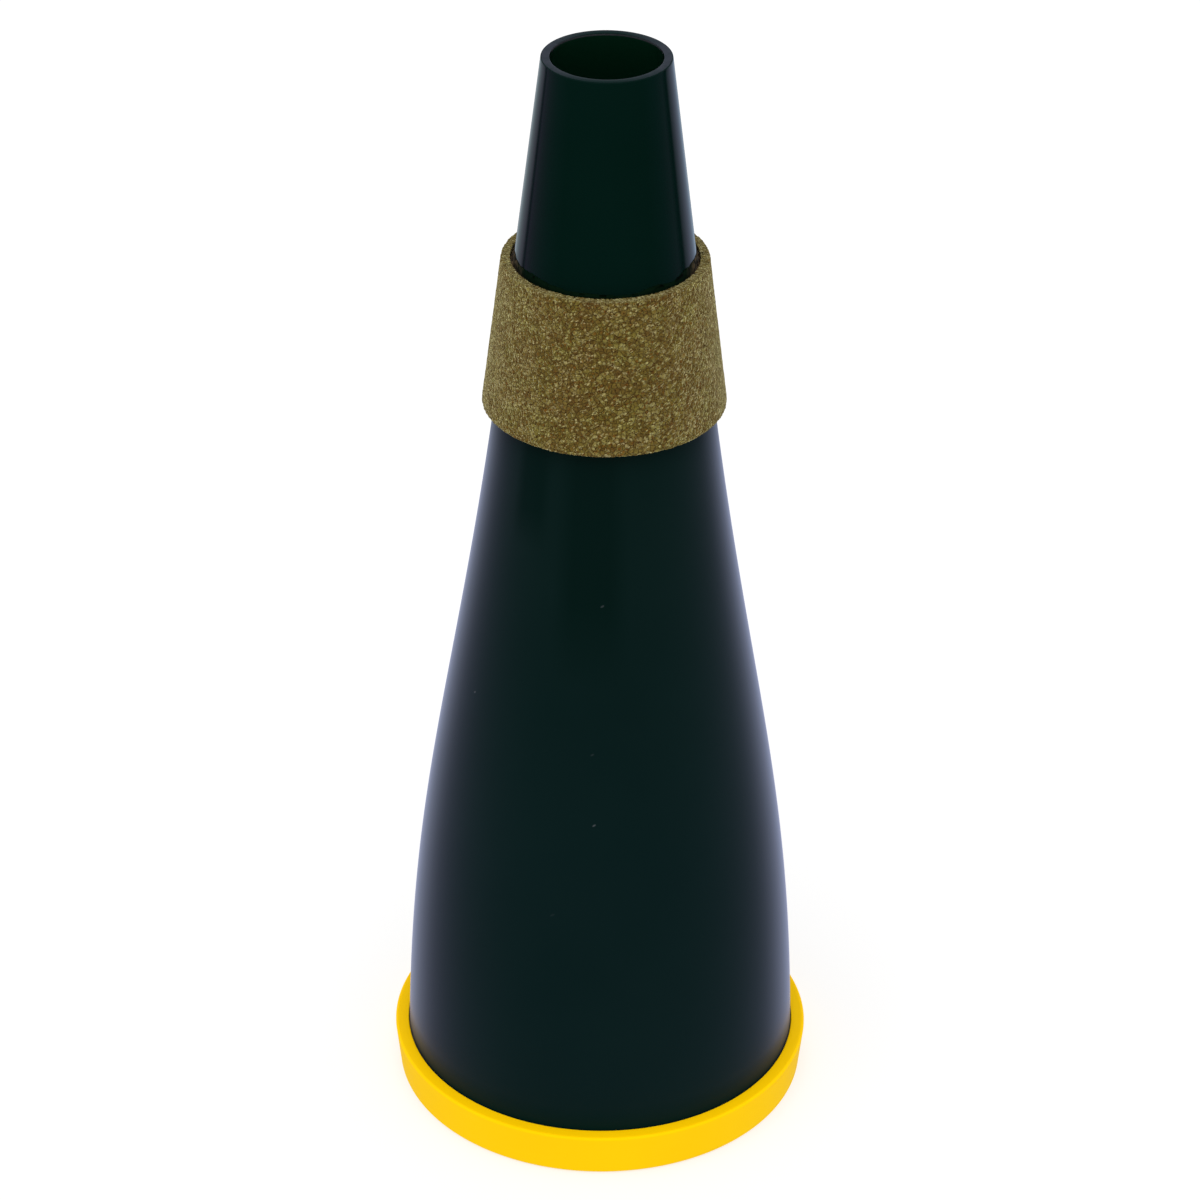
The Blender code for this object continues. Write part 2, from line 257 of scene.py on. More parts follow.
def outline(corners, step, pieces=6):
    """Closed outline through (radius, height, rounding) corners. Long runs get points no more than
    step apart, gathered towards the ends of the run so that roundings shade cleanly. step is one
    distance, or one for each corner's run to the next."""
    spots = [np.array(c[:2], dtype=float) for c in corners]
    step = np.broadcast_to(step, len(corners))
    runs = []
    for i, (here, corner) in enumerate(zip(spots, corners)):
        if corner[2] > 0.0:
            runs.append(arc(spots[i - 1], here, spots[(i + 1) % len(spots)], corner[2], pieces))
        else:
            runs.append(here[None, :])
    points = []
    for run, following, room in zip(runs, runs[1:] + runs[:1], step):
        gap = np.linalg.norm(following[0] - run[-1])
        count = max(1, math.ceil(gap / room))
        t = np.linspace(0.0, 1.0, count + 1)[1:-1]
        t = t - 0.7 * np.sin(2 * math.pi * t) / (2 * math.pi)
        points.append(run)
        points.append(run[-1] + t[:, None] * (following[0] - run[-1]))
    return np.concatenate(points)


def outline_normals(points):
    """Outward direction at each point of a closed outline that runs down its outer side."""
    along = np.roll(points, -1, axis=0) - np.roll(points, 1, axis=0)
    along /= np.linalg.norm(along, axis=1)[:, None]
    return np.stack([-along[:, 1], along[:, 0]], axis=-1)


def turned(name, points, around, relief=None, climb=None):
    """Piece whose closed outline is carried once round the axis: x and y are the radius times the
    cosine and the sine of the angle, and z is the height. relief is how far each grid point stands out
    along the outline's normal, and climb how far it is slid up the slope of the neck. The grid wraps
    both ways, so it has no seam or pole."""
    rows = len(points)
    radius = np.repeat(points[:, :1], around, axis=1)
    height = np.repeat(points[:, 1:], around, axis=1)
    if relief is not None:
        out = outline_normals(points)
        radius = radius + out[:, :1] * relief
        height = height + out[:, 1:] * relief
    if climb is not None:
        radius = radius - NECK_TAPER * climb
        height = height + climb
    angle = np.linspace(0.0, 2 * math.pi, around, endpoint=False)
    grid = np.stack([radius * np.cos(angle), radius * np.sin(angle), height], axis=-1)
    index = np.arange(rows * around).reshape(rows, around)
    below = np.roll(index, -1, axis=0)
    faces = np.stack([index, below, np.roll(below, -1, axis=1), np.roll(index, -1, axis=1)], axis=-1)
    return mesh_piece(name, grid.reshape(-1, 3), faces.reshape(-1, 4))


def mesh_piece(name, points, faces):
    """Smooth-shaded object from an array of points and an array of four-cornered faces."""
    mesh = bpy.data.meshes.new(name)
    mesh.vertices.add(len(points))
    mesh.vertices.foreach_set("co", points.astype(np.float32).ravel())
    mesh.loops.add(faces.size)
    mesh.loops.foreach_set("vertex_index", faces.astype(np.int32).ravel())
    mesh.polygons.add(len(faces))
    mesh.polygons.foreach_set("loop_start", np.arange(0, faces.size, 4, dtype=np.int32))
    mesh.update(calc_edges=True)
    mesh.validate()
    mesh.shade_smooth()
    piece = bpy.data.objects.new(name, mesh)
    bpy.context.scene.collection.objects.link(piece)
    return piece


def arc_length(points):
    """Distance along a closed outline to each of its points."""
    steps = np.linalg.norm(np.diff(points, axis=0), axis=1)
    return np.concatenate([[0.0], np.cumsum(steps)])


def soft_noise(rng, along, around, size, girth):
    """Smooth random height, from -1 to 1, over a strip: a lattice of random values, size apart, that
    wraps round the girth, blended by the smoothstep of the place inside each cell."""
    columns = max(4, round(girth / size))
    rows = int(along.max() / size) + 3
    lattice = rng.uniform(-1.0, 1.0, (rows, columns))
    u = along / size
    v = np.linspace(0.0, columns, around, endpoint=False)
    row = np.floor(u).astype(int)
    column = np.floor(v).astype(int)
    fu = (u - row)[:, None]
    fv = (v - column)[None, :]
    fu = fu * fu * (3 - 2 * fu)
    fv = fv * fv * (3 - 2 * fv)
    upper = lattice[row][:, column] * (1 - fv) + lattice[row][:, (column + 1) % columns] * fv
    lower = lattice[row + 1][:, column] * (1 - fv) + lattice[row + 1][:, (column + 1) % columns] * fv
    return upper * (1 - fu) + lower * fu


def grains(rng, along, around, size, girth):
    """Granule relief over a strip, from 0 in the joints to 1 on the crowns: each grain is the region
    nearest to one of a lattice of scattered centres, and its height grows with the difference
    between the second nearest and the nearest distance."""
    columns = max(4, round(girth / size))
    rows = int(along.max() / size) + 4
    place_u = rng.uniform(0.0, 1.0, (rows, columns))
    place_v = rng.uniform(0.0, 1.0, (rows, columns))
    crown = rng.uniform(0.55, 1.0, (rows, columns))
    u = along[:, None] / size + 1.0 + np.zeros((1, around))
    v = np.linspace(0.0, columns, around, endpoint=False)[None, :] + np.zeros((len(along), 1))
    nearest = np.full(u.shape, 9.0)
    second = np.full(u.shape, 9.0)
    height = np.zeros(u.shape)
    for du in (-1, 0, 1):
        for dv in (-1, 0, 1):
            row = np.floor(u).astype(int) + du
            column = (np.floor(v).astype(int) + dv) % columns
            centre_v = np.floor(v) + dv + place_v[row, column]
            distance = np.hypot(row + place_u[row, column] - u, centre_v - v)
            closer = distance < nearest
            second = np.where(closer, nearest, np.minimum(second, distance))
            height = np.where(closer, crown[row, column], height)
            nearest = np.where(closer, distance, nearest)
    return height * np.clip((second - nearest) * 2.5, 0.0, 1.0)


class Wiring:
    """Node tree that is being wired up."""

    def __init__(self, tree):
        self.tree = tree

    def node(self, kind, settings=None, **inputs):
        """New node with its settings, and its inputs set to values or linked to outputs."""
        made = self.tree.nodes.new("ShaderNode" + kind)
        for key, value in (settings or {}).items():
            setattr(made, key, value)
        for key, value in inputs.items():
            self.feed(made.inputs[key.replace("_", " ")], value)
        return made

    def feed(self, socket, value):
        """Set a socket to a value, or link an output to it."""
        if isinstance(value, bpy.types.NodeSocket):
            self.tree.links.new(value, socket)
        else:
            socket.default_value = value

    def math(self, operation, first, second=0.0):
        """Result of one Math node."""
        made = self.tree.nodes.new("ShaderNodeMath")
        made.operation = operation
        self.feed(made.inputs[0], first)
        self.feed(made.inputs[1], second)
        return made.outputs[0]

    def ramp(self, value, stops):
        """Colour read from (position, colour) stops."""
        made = self.node("ValToRGB", Fac=value)
        elements = made.color_ramp.elements
        while len(elements) < len(stops):
            elements.new(0.5)
        for element, (position, colour) in zip(elements, stops):
            element.position = position
            element.color = (*colour, 1.0)
        return made.outputs["Color"]

    def spread(self, value, low, high, start=0.0, end=1.0):
        """Value moved from the range start to end onto the range low to high."""
        made = self.node("MapRange", Value=value)
        for key, number in (("From Min", start), ("From Max", end), ("To Min", low), ("To Max", high)):
            made.inputs[key].default_value = number
        return made.outputs["Result"]

    def blend(self, share, first, second, how="MIX"):
        """Two colours mixed."""
        made = self.tree.nodes.new("ShaderNodeMix")
        made.data_type = "RGBA"
        made.blend_type = how
        self.feed(made.inputs["Factor"], share)
        self.feed(made.inputs[6], first)
        self.feed(made.inputs[7], second)
        return made.outputs[2]


class Recipe(Wiring):
    """Node material being put together round one Principled shader."""

    def __init__(self, name):
        self.material = bpy.data.materials.new(name)
        self.material.use_nodes = True
        super().__init__(self.material.node_tree)
        self.shader = self.tree.nodes["Principled BSDF"]
        self.place = self.node("TexCoord").outputs["Object"]

    def axes(self):
        """The three object coordinates, each by itself."""
        return self.node("SeparateXYZ", Vector=self.place).outputs

    def noise(self, scale, detail=2.0, roughness=0.5, place=None):
        """Noise value, from 0 to 1, in cells of 1/scale metres."""
        made = self.node("TexNoise", Vector=place or self.place, Scale=scale, Detail=detail)
        made.inputs["Roughness"].default_value = roughness
        return made.outputs["Fac"]

    def mottled(self, value, first, second, start=0.3, end=0.7):
        """Colour that goes from the first to the second as a value goes from start to end."""
        return self.ramp(value, [(start, first), (end, second)])

    def warped(self, scale, reach):
        """Object coordinates pushed about by noise, by up to half of reach metres each way."""
        push = self.node("TexNoise", Vector=self.place, Scale=scale, Detail=2.0)
        centred = self.node("VectorMath", {"operation": "SUBTRACT"})
        self.feed(centred.inputs[0], push.outputs["Color"])
        self.feed(centred.inputs[1], (0.5, 0.5, 0.5))
        moved = self.node("VectorMath", {"operation": "MULTIPLY_ADD"})
        self.feed(moved.inputs[0], centred.outputs["Vector"])
        self.feed(moved.inputs[1], (reach, reach, reach))
        self.feed(moved.inputs[2], self.place)
        return moved.outputs["Vector"]

    def laid(self, turn, squeeze, place=None):
        """Coordinates turned by three angles and then squeezed, so that cells lie like flakes."""
        lie = self.node("Mapping", {"vector_type": "TEXTURE"}, Vector=place or self.place)
        lie.inputs["Rotation"].default_value = turn
        lie.inputs["Scale"].default_value = squeeze
        return lie.outputs["Vector"]

    def stretched(self, turn, squeeze):
        """Object coordinates squeezed and then turned, so that noise runs in long fibres."""
        lie = self.node("Mapping", Vector=self.place)
        lie.inputs["Rotation"].default_value = turn
        lie.inputs["Scale"].default_value = squeeze
        return lie.outputs["Vector"]

    def flecks(self, place, scale, share, reach, under, tone):
        """Lay flecks of one tone over a colour: in a share of the cells of 1/scale metres, as far
        from each cell's centre as reach cells."""
        cell = self.node("TexVoronoi", Vector=place, Scale=scale)
        pick = self.node("SeparateColor", Color=cell.outputs["Color"]).outputs["Red"]
        chosen = self.spread(pick, 0.0, 1.0, 0.97 - share, 1.03 - share)
        near = self.spread(cell.outputs["Distance"], 1.0, 0.0, 0.75 * reach, 1.1 * reach)
        return self.blend(self.math("MULTIPLY", chosen, near), under, (*tone, 1.0))

    def bump(self, height, distance, strength):
        """Normal tilted by a height field whose full range is distance metres."""
        return self.node("Bump", Height=height, Distance=distance, Strength=strength).outputs["Normal"]

    def finish(self, **inputs):
        """Set or link the shader's own sockets, and return the material."""
        for key, value in inputs.items():
            self.feed(self.shader.inputs[key.replace("_", " ")], value)
        return self.material


def moulded_black():
    """Black moulded plastic with a green cast: polished on the neck, satin with a bluish bloom on the
    body, greener inside, grey on the lip with a painted reflection towards its sides, with a little lint.
    Streaks of the body are painted dark reflections, darker and with less bloom, and gloss and bloom
    fade out just above the soft ring."""
    mix = Recipe("moulded_black")
    x, y, height = mix.axes()
    low = mix.spread(height, 1.0, 0.0, *SATIN_TO_POLISH)
    clear_of_ring = mix.spread(height, 0.15, 1.0, *RING_TO_BLOOM)
    # Painted dark reflections: streaks down the body, darker and with less bloom.
    streaks = [rubbed_streak(mix, x, y, height, *streak) for streak in DARK_REFLECTION_STREAKS]
    rubbed = mix.math("MAXIMUM", *streaks)
    tone = outside_tone(mix, height, low, rubbed)
    squares = [mix.math("POWER", along, 2.0) for along in (x, y)]
    radius = mix.math("SQRT", mix.math("ADD", *squares))
    cone = mix.spread(height, MOUTH_RADIUS, MOUTH_RADIUS + NECK_TAPER * HEIGHT, HEIGHT, 0.0)
    past_cone = mix.math("SUBTRACT", radius, cone)
    inside = mix.math("LESS_THAN", past_cone, -SHELL_WALL / 2)
    inside = mix.math("MULTIPLY", inside, mix.math("LESS_THAN", height, HEIGHT - LIP_GREY_DEPTH))
    tone = mix.blend(inside, tone, (0.0008, 0.0160, 0.0072, 1.0))
    # Painted reflection: grey over the lip's flat top towards the sides, and grey along its inner edge.
    tone = lip_grey_and_reflection(mix, mix.math("DIVIDE", x, radius), height, past_cone, tone)
    lint = mix.laid((0.4, 0.9, 0.2), (1.0, 1.0, 3.0))
    tone = mix.flecks(lint, 240.0, 0.10, 0.035, tone, (0.045, 0.055, 0.060))
    satin = mix.math("MAXIMUM", mix.spread(low, 0.08, 0.37), mix.spread(inside, 0.0, 0.35))
    patchy = mix.spread(mix.noise(90.0, 3.0), -0.02, 0.02)
    bloom = mix.math("MULTIPLY", mix.spread(low, 0.0, 0.61), clear_of_ring)
    return mix.finish(
        Base_Color=tone,
        Roughness=mix.math("ADD", satin, patchy),
        Specular_IOR_Level=mix.math("MULTIPLY", mix.spread(low, 0.22, 0.10), clear_of_ring),
        Sheen_Weight=mix.math("MULTIPLY", bloom, mix.spread(rubbed, 1.0, 0.3)),
        Sheen_Roughness=0.32,
        Sheen_Tint=(0.61, 0.655, 1.0, 1.0),
        Normal=mix.bump(mix.noise(650.0, 2.0), 0.01 * MM, 0.25),
    )


def outside_tone(mix, height, low, rubbed):
    """Tone of the shell's outside, faintly clouded: one on the neck, and on the body one that changes
    from foot to shoulder, with darker streaks painted as dark reflections. low is 0 on the neck and 1 on
    the body."""
    cloud = mix.noise(35.0, 3.0)
    neck = mix.mottled(cloud, (0.0006, 0.0076, 0.0053), (0.0010, 0.0090, 0.0066))
    shoulder = mix.mottled(cloud, (0.0001, 0.0094, 0.0077), (0.0008, 0.0108, 0.0091))
    foot = mix.mottled(cloud, (0.0003, 0.0099, 0.0096), (0.0010, 0.0113, 0.0110))
    body = mix.blend(mix.spread(height, 0.0, 1.0, *FOOT_TO_SHOULDER), foot, shoulder)
    # Painted dark reflection: the streaks darken the body's tone.
    body = mix.blend(rubbed, body, (0.0, 0.0088, 0.0070, 1.0))
    return mix.blend(low, neck, body)


def lip_grey_and_reflection(mix, sideways, height, past_cone, tone):
    """Lay grey over a colour on the mouth's lip: all along its inner edge, and over its flat top
    where that lies towards the sides, as a painted reflection of pale walls. sideways is the sine of the
    azimuth, and past_cone how far out from the neck's cone a point lies."""
    high = mix.math("GREATER_THAN", height, HEIGHT - LIP_GREY_DEPTH)
    lip = mix.math("MULTIPLY", high, mix.math("LESS_THAN", past_cone, -LIP_BORDER))
    patchy = mix.spread(mix.noise(700.0, 3.0), 0.7, 1.3, 0.3, 0.7)
    beside = mix.math("MULTIPLY", mix.math("POWER", sideways, 2.0), patchy)
    # Painted reflection of pale walls on the flat top towards the sides.
    tone = mix.blend(mix.math("MULTIPLY", lip, beside), tone, (0.027, 0.030, 0.039, 1.0))
    on_edge = mix.math("MULTIPLY", lip, mix.math("LESS_THAN", height, HEIGHT - LIP_FLAT))
    return mix.blend(mix.math("MULTIPLY", on_edge, patchy), tone, (0.034, 0.036, 0.042, 1.0))


def rubbed_streak(mix, x, y, height, azimuth, half_width, low, high):
    """Share from 0 to 1 of a streak down the body painted as a dark reflection, with less bloom: degrees
    from the front, soft at its sides, and fading out from the height high down to low."""
    around = mix.math("ARCTAN2", x, mix.math("MULTIPLY", y, -1.0))
    away = mix.math("ABSOLUTE", mix.math("SUBTRACT", around, math.radians(azimuth)))
    soft = (math.radians(0.6 * half_width), math.radians(1.2 * half_width))
    across = mix.spread(away, 1.0, 0.0, *soft)
    return mix.math("MULTIPLY", across, mix.spread(height, 0.0, 1.0, low, high))


def ground_cork():
    """Agglomerated cork: granules of brown and olive with dark joints, pale flakes lying all ways and
    dark and orange crumbs, in faint clouds of yellower and greyer tone, and paler across the cut top,
    partly the sanded cut and partly a painted highlight of light from above."""
    mix = Recipe("ground_cork")
    place = mix.warped(1300.0, 0.38 * MM)
    cells = 1700.0
    granule = mix.node("TexVoronoi", Vector=place, Scale=cells)
    pick = mix.node("SeparateColor", Color=granule.outputs["Color"]).outputs["Red"]
    joint = mix.node("TexVoronoi", {"feature": "DISTANCE_TO_EDGE"}, Vector=place, Scale=cells)
    joint = joint.outputs["Distance"]
    tone = granule_tone(mix, place, pick, joint)
    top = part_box("cork_collar")[1].z + CORK_RISE
    # Paler cut top: partly the sanded cut, partly a painted highlight of light from above.
    cut_and_lit_top = mix.spread(mix.axes()["Z"], 0.0, 0.3, top - 0.20 * MM, top - 0.06 * MM)
    tone = mix.blend(cut_and_lit_top, tone, (0.133, 0.121, 0.047, 1.0))
    relief = mix.math("ADD", mix.math("MULTIPLY", pick, 0.5), mix.spread(joint, 0.0, 0.5, 0.0, 0.15))
    relief = mix.math("ADD", relief, mix.math("MULTIPLY", mix.noise(2600.0, 2.0, 0.6, place), 0.5))
    bright = mix.node("RGBToBW", Color=tone).outputs["Val"]
    return mix.finish(
        Base_Color=tone,
        Roughness=0.85,
        Specular_IOR_Level=0.15,
        Sheen_Weight=0.95,
        Sheen_Roughness=0.25,
        Sheen_Tint=mix.mottled(bright, (0.42, 0.36, 0.14), (1.0, 0.94, 0.54), 0.04, 0.19),
        Normal=mix.bump(relief, 0.26 * MM, 0.9),
    )


def granule_tone(mix, place, pick, joint):
    """Tone of the cork's granules, from brown to olive by each one's random pick, with flecks over them,
    dark joints between them, a fine grain and faint clouds."""
    stops = [
        (0.0, (0.092, 0.055, 0.009)),
        (0.35, (0.113, 0.076, 0.013)),
        (0.75, (0.141, 0.107, 0.022)),
        (1.0, (0.192, 0.157, 0.047)),
    ]
    tone = mix.ramp(pick, stops)
    for lie, scale, share, reach, fleck in cork_flecks(mix, place):
        tone = mix.flecks(lie, scale, share, reach, tone, fleck)
    crack = mix.mottled(joint, (0.44, 0.35, 0.18), (1.0, 1.0, 1.0), 0.0, 0.08)
    tone = mix.blend(0.85, tone, crack, "MULTIPLY")
    grain = mix.mottled(mix.noise(5200.0, 2.0, 0.7), (0.74, 0.70, 0.51), (1.41, 1.43, 1.59))
    tone = mix.blend(1.0, tone, grain, "MULTIPLY")
    clouds = mix.mottled(mix.noise(280.0, 2.0), (1.00, 0.94, 0.98), (0.99, 1.03, 0.86), 0.35, 0.65)
    return mix.blend(1.0, tone, clouds, "MULTIPLY")


def cork_flecks(mix, place):
    """Layers of flecks in the cork, from the lowest up: how each lies, its cells to the metre, the
    share of cells that have a fleck, how many cells it reaches, and its tone."""
    flat = mix.laid((0.5, 0.2, 0.0), (1.0, 1.0, 0.5), place)
    upright = mix.laid((0.3, 1.2, 0.7), (1.0, 0.55, 1.2), place)
    slanted = mix.laid((0.9, 0.4, 1.9), (0.5, 1.0, 1.0), place)
    slivers = [mix.laid(turn, (1.0, 0.45, 1.7), place) for turn in ((0.3, 1.2, 0.7), (1.1, 0.2, 2.2))]
    pale = (0.305, 0.268, 0.116)
    return (
        (upright, 1950.0, 0.24, 0.45, (0.125, 0.060, 0.007)),
        (slanted, 1500.0, 0.18, 0.42, (0.225, 0.194, 0.074)),
        (flat, 1050.0, 0.10, 0.34, (0.262, 0.232, 0.104)),
        (slivers[0], 2200.0, 0.16, 0.42, pale),
        (slivers[1], 2000.0, 0.16, 0.42, pale),
        (flat, 3300.0, 0.24, 0.48, (0.054, 0.023, 0.002)),
    )


def glue_and_shade_film():
    """Contact adhesive, lumpy dark brown in the bed; and the thin film up the neck, painted shade in
    green black, with some of the brown in it at the sides as a painted warm reflection of the cork."""
    mix = Recipe("glue_and_shade_film")
    lumpy = mix.mottled(mix.noise(1500.0, 3.0), (0.012, 0.008, 0.004), (0.110, 0.076, 0.043), 0.38, 0.66)
    parts = mix.axes()
    bed_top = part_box("cork_collar")[1].z - GLUE_SINK
    neck = float(shell_outside(bed_top))
    # Painted shade: the film up the neck is green black, and brown at the sides as a painted warm
    # reflection.
    film = mix.spread(parts["Z"], 0.0, 1.0, bed_top + 0.08 * MM, bed_top + 0.22 * MM)
    beside = mix.spread(mix.math("ABSOLUTE", parts["X"]), 0.0, 0.6, 0.87 * neck, 0.97 * neck)
    thin = mix.blend(beside, (0.0008, 0.0072, 0.0024, 1.0), lumpy)
    tone = mix.blend(film, lumpy, thin)
    lumps = mix.bump(mix.noise(1300.0, 3.0), 0.15 * MM, 0.8)
    return mix.finish(Base_Color=tone, Roughness=0.8, Specular_IOR_Level=0.05, Normal=lumps)


def yellow_rubber():
    """Smooth saturated yellow rubber with a faint moulded grain and scuffs along its lowest edge."""
    mix = Recipe("yellow_rubber")
    tone = mix.mottled(mix.noise(60.0, 4.0), (0.98, 0.585, 0.0002), (1.0, 0.605, 0.0004))
    low = mix.spread(mix.axes()["Z"], 1.0, 0.0, 0.0, 1.2 * MM)
    scuffed = mix.math("MULTIPLY", low, mix.spread(mix.noise(420.0, 4.0, 0.7), 0.0, 1.0, 0.5, 0.75))
    tone = mix.blend(mix.math("MULTIPLY", scuffed, 0.25), tone, (0.72, 0.46, 0.02, 1.0))
    return mix.finish(
        Base_Color=tone,
        Roughness=mix.spread(mix.noise(300.0), 0.5, 0.62),
        Specular_IOR_Level=0.03,
        Normal=mix.bump(mix.noise(2400.0, 2.0), 0.03 * MM, 0.35),
    )


def sparked_plastic(name, tone, roughness):
    """Plain plastic from a spark-eroded mould: fine even pits and a slightly cloudy tone."""
    mix = Recipe(name)
    darker = tuple(0.75 * c for c in tone)
    colour = mix.mottled(mix.noise(120.0, 3.0), darker, tone)
    pits = mix.bump(mix.noise(3000.0, 2.0, 0.6), 0.04 * MM, 0.6)
    rough = mix.spread(mix.noise(500.0, 3.0), roughness - 0.06, roughness + 0.06)
    return mix.finish(Base_Color=colour, Roughness=rough, Normal=pits)


def drawn_tube():
    """Extruded tube with fine draw lines along it."""
    mix = Recipe("drawn_tube")
    lines = mix.noise(2600.0, 2.0, 0.6, mix.stretched((0.0, 0.0, 0.0), (1.0, 1.0, 0.02)))
    colour = mix.mottled(lines, (0.006, 0.007, 0.008), (0.011, 0.012, 0.014))
    return mix.finish(Base_Color=colour, Roughness=0.3, Normal=mix.bump(lines, 0.01 * MM, 0.5))


def grey_rubber():
    """Dull dark rubber with a dusty bloom."""
    mix = Recipe("grey_rubber")
    dust = mix.noise(500.0, 4.0, 0.65)
    colour = mix.mottled(dust, (0.010, 0.010, 0.011), (0.022, 0.022, 0.023), 0.35, 0.75)
    skin = mix.bump(mix.noise(1800.0), 0.03 * MM, 0.5)
    return mix.finish(Base_Color=colour, Roughness=0.75, Normal=skin)


def pressed_felt():
    """Grey pressed felt: tangled fibres from stretched noise in two directions, with a soft sheen."""
    mix = Recipe("pressed_felt")
    lies = [mix.stretched((turn, 0.0, turn), (1.0, 1.0, 0.15)) for turn in (0.6, -0.9)]
    fibres = [mix.noise(3000.0, 3.0, 0.6, lie) for lie in lies]
    tangle = mix.math("MULTIPLY", mix.math("ADD", *fibres), 0.5)
    colour = mix.mottled(tangle, (0.012, 0.012, 0.014), (0.045, 0.045, 0.05), 0.35, 0.65)
    hairs = mix.bump(tangle, 0.2 * MM, 0.8)
    return mix.finish(Base_Color=colour, Roughness=0.95, Sheen_Weight=0.3, Normal=hairs)


def open_foam():
    """Dark open-cell foam: round pores of many sizes."""
    mix = Recipe("open_foam")
    pore = mix.node("TexVoronoi", Vector=mix.place, Scale=1500.0).outputs["Distance"]
    colour = mix.mottled(pore, (0.004, 0.004, 0.004), (0.03, 0.03, 0.033), 0.05, 0.5)
    return mix.finish(Base_Color=colour, Roughness=0.95, Normal=mix.bump(pore, 0.4 * MM, 0.9))


def set_epoxy():
    """Set two-part glue, honey coloured, with trapped bubbles."""
    mix = Recipe("set_epoxy")
    bubble = mix.node("TexVoronoi", Vector=mix.place, Scale=1200.0).outputs["Distance"]
    colour = mix.mottled(bubble, (0.45, 0.36, 0.2), (0.28, 0.22, 0.12), 0.1, 0.3)
    return mix.finish(Base_Color=colour, Roughness=0.35, Normal=mix.bump(bubble, 0.05 * MM, 0.5))


def put(piece, node, material):
    """Give a new piece its finish, let it ride on the mute and stand for its solid."""
    piece.data.materials.append(material)
    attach(piece, "root")
    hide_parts(node)


def body():
    """Shell: down the outer wall from the mouth to the foot, and up the inner wall."""
    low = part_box("body_shell")[0].z
    corners = [
        (MOUTH_RADIUS, HEIGHT, 0.15 * MM),
        *shell_line(0.0, NECK_START, low + 1 * MM, 90),
        shell_corner(0.0, low, 0.15 * MM),
        shell_corner(-SHELL_WALL, low, 0.15 * MM),
        *shell_line(-SHELL_WALL, low + 1 * MM, NECK_START, 60),
        (MOUTH_RADIUS - SHELL_WALL - MOUTH_LIP, HEIGHT, 0.10 * MM),
    ]
    piece = turned("body_shell_visual", outline(corners, 2.5 * MM), FINE)
    put(piece, "body_shell", moulded_black())


def cork():
    """Cork collar, parallel to the neck, with a granular face and slightly crumbled edges."""
    low, high = (corner.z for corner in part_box("cork_collar"))
    low -= CORK_SAG
    high += CORK_RISE
    skin = CORK_STANDOFF + CORK_THICKNESS
    outer = shell_line(skin, high, low, 3, 0.22 * MM, 0.3 * MM)
    inner = shell_line(CORK_STANDOFF, low, high, 3, last=0.05 * MM)
    steps = [0.25 * MM] * len(outer) + [1.5 * MM] * len(inner)
    points = outline(outer + inner, steps, 5)
    along = arc_length(points)
    girth = 2 * math.pi * points[:, 0].max()
    rng = np.random.default_rng(12)
    crumbs = grains(rng, along, CORK_AROUND, CORK_GRANULE, girth)
    wander = soft_noise(rng, along, CORK_AROUND, 3.0 * MM, girth)
    edge_distance = np.minimum(np.abs(points[:, 1] - high), np.abs(points[:, 1] - low))[:, None]
    edge = np.exp(-edge_distance / (0.4 * MM))
    face = (crumbs - crumbs.mean()) * CORK_RELIEF
    notches = (crumbs - 1.0) * edge * CORK_NOTCH
    relief = face + notches + wander * CORK_WAVE
    piece = turned("cork_collar_visual", points, CORK_AROUND, relief)
    piece.visible_glossy = False
    put(piece, "cork_collar", ground_cork())


def glue():
    """Glue bed between neck and cork, squeezed up nearly level with the cork's top, with crumbly lumps
    there, and a thin dark film with a ragged edge up the neck that is painted shade in the gap."""
    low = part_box("cork_glue_bed")[0].z
    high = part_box("cork_collar")[1].z - GLUE_SINK
    crept = high + SHADE_FILM_RISE
    outer = shell_line(CORK_STANDOFF - BOND_GAP, high, low, 3)
    inner = shell_line(BOND_GAP, low, high, 3)
    # The film up the neck is a dark sheet that stands for shade in the gap: painted shade.
    film = [
        shell_corner(SHADE_FILM_THICKNESS / 2, crept),
        shell_corner(SHADE_FILM_THICKNESS, crept),
        shell_corner(BOND_GAP + SHADE_FILM_THICKNESS, high + 0.1 * MM),
    ]
    steps = [0.4 * MM] * (len(outer) + len(inner)) + [0.1 * MM] * len(film)
    points = outline(outer + inner + film, steps)
    rng = np.random.default_rng(5)
    around = 2 * FINE
    lumps = soft_noise(rng, arc_length(points), around, 0.7 * MM, GLUE_GIRTH)
    near_top = np.exp(-np.abs(high - points[:, 1])[:, None] / (0.5 * MM))
    relief = (lumps - 1.0) * near_top * GLUE_LUMP
    level = np.zeros(1)
    ragged = sum(deep * soft_noise(rng, level, around, size, GLUE_GIRTH) for size, deep in SHADE_FILM_RAGGED)
    sideways = np.cos(np.linspace(0.0, 2 * math.pi, around, endpoint=False)) ** 2
    up_film = np.clip((points[:, 1] - high) / SHADE_FILM_RISE, 0.0, 1.0)[:, None]
    climb = up_film * (ragged + SHADE_FILM_SIDE_RISE * sideways)
    piece = turned("cork_glue_bed_visual", points, around, relief, climb)
    put(piece, "cork_glue_bed", glue_and_shade_film())


